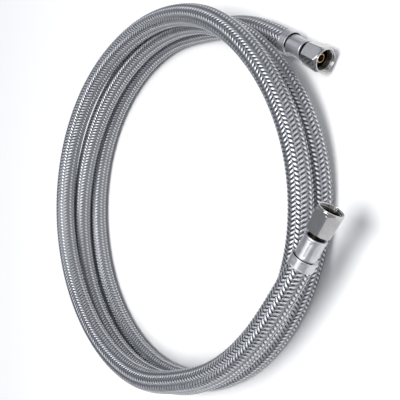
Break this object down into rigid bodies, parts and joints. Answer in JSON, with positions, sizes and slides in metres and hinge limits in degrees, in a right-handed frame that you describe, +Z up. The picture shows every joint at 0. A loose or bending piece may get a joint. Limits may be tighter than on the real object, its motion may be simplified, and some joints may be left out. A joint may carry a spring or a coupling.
{
  "type": "braided supply line",
  "caption": "Flexible braided stainless water supply line in a loose round coil, with a hex swivel compression nut, crimped ferrule and brass insert at each end.",
  "frame": {"origin": "bottom centre of the whole part's box, on the surface that the coil lies on", "axes": "+Z up, out of the flat-lying coil. End A's fitting axis points to -Y, end B's within 4 degrees of +X."},
  "size_m": [0.2182, 0.2256, 0.0361],
  "materials": {
    "stainless_braid": "woven bright stainless wire",
    "hose_core": "smooth dark polymer tube",
    "ferrule_steel": "satin, crimped",
    "brass": "turned",
    "seal_rubber": "matt",
    "nickel_plate": "bright nickel plate"
  },
  "bodies": {
    "hose": {"hose_coil": "stainless_braid", "braid_tail_a": "stainless_braid", "core_tail_a": "hose_core", "ferrule_a": "ferrule_steel", "insert_a": "brass", "cone_washer_a": "seal_rubber", "braid_tail_b": "stainless_braid", "core_tail_b": "hose_core", "ferrule_b": "ferrule_steel", "insert_b": "brass", "cone_washer_b": "seal_rubber"},
    "swivel_a": {"nut_a": "nickel_plate"},
    "swivel_b": {"nut_b": "nickel_plate"}
  },
  "joints": [
    {"name": "nut_a_spin", "type": "hinge", "parent": "hose", "child": "swivel_a", "pos_m": [0.10244, -0.04558, 0.008], "axis": [0, -1, 0], "continuous": true},
    {"name": "nut_b_spin", "type": "hinge", "parent": "hose", "child": "swivel_b", "pos_m": [0.0479, -0.10565, 0.0299], "axis": [0.9979, -0.064, 0], "continuous": true}
  ]
}
